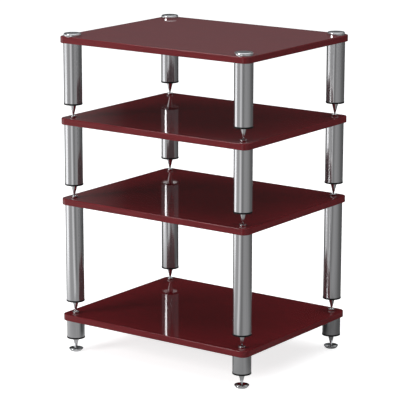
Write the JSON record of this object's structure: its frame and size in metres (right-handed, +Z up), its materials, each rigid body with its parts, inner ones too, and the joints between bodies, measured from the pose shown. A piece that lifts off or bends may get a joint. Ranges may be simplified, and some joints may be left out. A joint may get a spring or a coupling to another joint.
{
  "type": "audio equipment rack",
  "caption": "Free-standing rack for audio equipment: lacquered boards on round metal columns, which stand on levelling cone spikes in small cups, with floor pads below and flat caps on top.",
  "frame": {"origin": "on the floor, under the middle of the rack", "axes": "+Z up, +X to the right and -Y to the front, seen from the front"},
  "size_m": [0.62, 0.5, 0.8946],
  "materials": {
    "board_lacquer": "cherry-red stain under gloss lacquer",
    "column_aluminium": "polished",
    "end_ring": "satin black",
    "spike_chrome": "satin chrome",
    "fitting_chrome": "bright chrome"
  },
  "bodies": {
    "base_tier": {"base_board": "board_lacquer", "base_column_front_left": "column_aluminium", "base_column_front_right": "column_aluminium", "base_column_rear_left": "column_aluminium", "base_column_rear_right": "column_aluminium", "base_cup_front_left": "fitting_chrome", "base_cup_front_right": "fitting_chrome", "base_cup_rear_left": "fitting_chrome", "base_cup_rear_right": "fitting_chrome"},
    "lower_tier": {"lower_board": "board_lacquer", "lower_column_front_left": "column_aluminium", "lower_column_front_right": "column_aluminium", "lower_column_rear_left": "column_aluminium", "lower_column_rear_right": "column_aluminium", "lower_cup_front_left": "fitting_chrome", "lower_cup_front_right": "fitting_chrome", "lower_cup_rear_left": "fitting_chrome", "lower_cup_rear_right": "fitting_chrome"},
    "middle_tier": {"middle_board": "board_lacquer", "middle_column_front_left": "column_aluminium", "middle_column_front_right": "column_aluminium", "middle_column_rear_left": "column_aluminium", "middle_column_rear_right": "column_aluminium", "middle_cup_front_left": "fitting_chrome", "middle_cup_front_right": "fitting_chrome", "middle_cup_rear_left": "fitting_chrome", "middle_cup_rear_right": "fitting_chrome"},
    "upper_tier": {"upper_board": "board_lacquer", "upper_column_front_left": "column_aluminium", "upper_column_front_right": "column_aluminium", "upper_column_rear_left": "column_aluminium", "upper_column_rear_right": "column_aluminium", "top_cap_front_left": "fitting_chrome", "top_cap_front_right": "fitting_chrome", "top_cap_rear_left": "fitting_chrome", "top_cap_rear_right": "fitting_chrome"},
    "floor_pad_front_left": {"floor_pad_front_left": "fitting_chrome"},
    "floor_pad_front_right": {"floor_pad_front_right": "fitting_chrome"},
    "floor_pad_rear_left": {"floor_pad_rear_left": "fitting_chrome"},
    "floor_pad_rear_right": {"floor_pad_rear_right": "fitting_chrome"},
    "base_spike_front_left": {"base_spike_front_left": "spike_chrome"},
    "base_spike_front_right": {"base_spike_front_right": "spike_chrome"},
    "base_spike_rear_left": {"base_spike_rear_left": "spike_chrome"},
    "base_spike_rear_right": {"base_spike_rear_right": "spike_chrome"},
    "lower_spike_front_left": {"lower_spike_front_left": "spike_chrome"},
    "lower_spike_front_right": {"lower_spike_front_right": "spike_chrome"},
    "lower_spike_rear_left": {"lower_spike_rear_left": "spike_chrome"},
    "lower_spike_rear_right": {"lower_spike_rear_right": "spike_chrome"},
    "middle_spike_front_left": {"middle_spike_front_left": "spike_chrome"},
    "middle_spike_front_right": {"middle_spike_front_right": "spike_chrome"},
    "middle_spike_rear_left": {"middle_spike_rear_left": "spike_chrome"},
    "middle_spike_rear_right": {"middle_spike_rear_right": "spike_chrome"},
    "upper_spike_front_left": {"upper_spike_front_left": "spike_chrome"},
    "upper_spike_front_right": {"upper_spike_front_right": "spike_chrome"},
    "upper_spike_rear_left": {"upper_spike_rear_left": "spike_chrome"},
    "upper_spike_rear_right": {"upper_spike_rear_right": "spike_chrome"}
  },
  "joints": [
    {"name": "lower_tier_level", "type": "slide", "parent": "base_tier", "child": "lower_tier", "axis": [0, 0, 1], "range_m": [0, 0.006]},
    {"name": "lower_spike_turn_front_left", "type": "hinge", "parent": "base_tier", "child": "lower_spike_front_left", "pos_m": [-0.281, -0.221, 0.1113], "axis": [0, 0, -1], "range_deg": [0, 1730]},
    {"name": "lower_spike_turn_front_right", "type": "hinge", "parent": "base_tier", "child": "lower_spike_front_right", "pos_m": [0.281, -0.221, 0.1113], "axis": [0, 0, -1], "range_deg": [0, 1730]},
    {"name": "lower_spike_turn_rear_left", "type": "hinge", "parent": "base_tier", "child": "lower_spike_rear_left", "pos_m": [-0.281, 0.221, 0.1113], "axis": [0, 0, -1], "range_deg": [0, 1730]},
    {"name": "lower_spike_turn_rear_right", "type": "hinge", "parent": "base_tier", "child": "lower_spike_rear_right", "pos_m": [0.281, 0.221, 0.1113], "axis": [0, 0, -1], "range_deg": [0, 1730]},
    {"name": "middle_tier_level", "type": "slide", "parent": "lower_tier", "child": "middle_tier", "axis": [0, 0, 1], "range_m": [0, 0.006]},
    {"name": "middle_spike_turn_front_left", "type": "hinge", "parent": "lower_tier", "child": "middle_spike_front_left", "pos_m": [-0.281, -0.221, 0.4413], "axis": [0, 0, -1], "range_deg": [0, 1730]},
    {"name": "middle_spike_turn_front_right", "type": "hinge", "parent": "lower_tier", "child": "middle_spike_front_right", "pos_m": [0.281, -0.221, 0.4413], "axis": [0, 0, -1], "range_deg": [0, 1730]},
    {"name": "middle_spike_turn_rear_left", "type": "hinge", "parent": "lower_tier", "child": "middle_spike_rear_left", "pos_m": [-0.281, 0.221, 0.4413], "axis": [0, 0, -1], "range_deg": [0, 1730]},
    {"name": "middle_spike_turn_rear_right", "type": "hinge", "parent": "lower_tier", "child": "middle_spike_rear_right", "pos_m": [0.281, 0.221, 0.4413], "axis": [0, 0, -1], "range_deg": [0, 1730]},
    {"name": "upper_tier_level", "type": "slide", "parent": "middle_tier", "child": "upper_tier", "axis": [0, 0, 1], "range_m": [0, 0.006]},
    {"name": "upper_spike_turn_front_left", "type": "hinge", "parent": "middle_tier", "child": "upper_spike_front_left", "pos_m": [-0.281, -0.221, 0.6653], "axis": [0, 0, -1], "range_deg": [0, 1730]},
    {"name": "upper_spike_turn_front_right", "type": "hinge", "parent": "middle_tier", "child": "upper_spike_front_right", "pos_m": [0.281, -0.221, 0.6653], "axis": [0, 0, -1], "range_deg": [0, 1730]},
    {"name": "upper_spike_turn_rear_left", "type": "hinge", "parent": "middle_tier", "child": "upper_spike_rear_left", "pos_m": [-0.281, 0.221, 0.6653], "axis": [0, 0, -1], "range_deg": [0, 1730]},
    {"name": "upper_spike_turn_rear_right", "type": "hinge", "parent": "middle_tier", "child": "upper_spike_rear_right", "pos_m": [0.281, 0.221, 0.6653], "axis": [0, 0, -1], "range_deg": [0, 1730]},
    {"name": "floor_pad_level_front_left", "type": "slide", "parent": "base_tier", "child": "floor_pad_front_left", "axis": [0, 0, -1], "range_m": [0, 0.006]},
    {"name": "base_spike_turn_front_left", "type": "hinge", "parent": "floor_pad_front_left", "child": "base_spike_front_left", "pos_m": [-0.281, -0.221, 0.005], "axis": [0, 0, -1], "range_deg": [0, 1730]},
    {"name": "floor_pad_level_front_right", "type": "slide", "parent": "base_tier", "child": "floor_pad_front_right", "axis": [0, 0, -1], "range_m": [0, 0.006]},
    {"name": "base_spike_turn_front_right", "type": "hinge", "parent": "floor_pad_front_right", "child": "base_spike_front_right", "pos_m": [0.281, -0.221, 0.005], "axis": [0, 0, -1], "range_deg": [0, 1730]},
    {"name": "floor_pad_level_rear_left", "type": "slide", "parent": "base_tier", "child": "floor_pad_rear_left", "axis": [0, 0, -1], "range_m": [0, 0.006]},
    {"name": "base_spike_turn_rear_left", "type": "hinge", "parent": "floor_pad_rear_left", "child": "base_spike_rear_left", "pos_m": [-0.281, 0.221, 0.005], "axis": [0, 0, -1], "range_deg": [0, 1730]},
    {"name": "floor_pad_level_rear_right", "type": "slide", "parent": "base_tier", "child": "floor_pad_rear_right", "axis": [0, 0, -1], "range_m": [0, 0.006]},
    {"name": "base_spike_turn_rear_right", "type": "hinge", "parent": "floor_pad_rear_right", "child": "base_spike_rear_right", "pos_m": [0.281, 0.221, 0.005], "axis": [0, 0, -1], "range_deg": [0, 1730]}
  ],
  "couplings": [
    {"joint": "lower_spike_turn_front_left", "follows": "lower_tier_level", "rad_per_m": 5026.5},
    {"joint": "lower_spike_turn_front_right", "follows": "lower_tier_level", "rad_per_m": 5026.5},
    {"joint": "lower_spike_turn_rear_left", "follows": "lower_tier_level", "rad_per_m": 5026.5},
    {"joint": "lower_spike_turn_rear_right", "follows": "lower_tier_level", "rad_per_m": 5026.5},
    {"joint": "middle_spike_turn_front_left", "follows": "middle_tier_level", "rad_per_m": 5026.5},
    {"joint": "middle_spike_turn_front_right", "follows": "middle_tier_level", "rad_per_m": 5026.5},
    {"joint": "middle_spike_turn_rear_left", "follows": "middle_tier_level", "rad_per_m": 5026.5},
    {"joint": "middle_spike_turn_rear_right", "follows": "middle_tier_level", "rad_per_m": 5026.5},
    {"joint": "upper_spike_turn_front_left", "follows": "upper_tier_level", "rad_per_m": 5026.5},
    {"joint": "upper_spike_turn_front_right", "follows": "upper_tier_level", "rad_per_m": 5026.5},
    {"joint": "upper_spike_turn_rear_left", "follows": "upper_tier_level", "rad_per_m": 5026.5},
    {"joint": "upper_spike_turn_rear_right", "follows": "upper_tier_level", "rad_per_m": 5026.5},
    {"joint": "base_spike_turn_front_left", "follows": "floor_pad_level_front_left", "rad_per_m": 5026.5},
    {"joint": "base_spike_turn_front_right", "follows": "floor_pad_level_front_right", "rad_per_m": 5026.5},
    {"joint": "base_spike_turn_rear_left", "follows": "floor_pad_level_rear_left", "rad_per_m": 5026.5},
    {"joint": "base_spike_turn_rear_right", "follows": "floor_pad_level_rear_right", "rad_per_m": 5026.5}
  ]
}
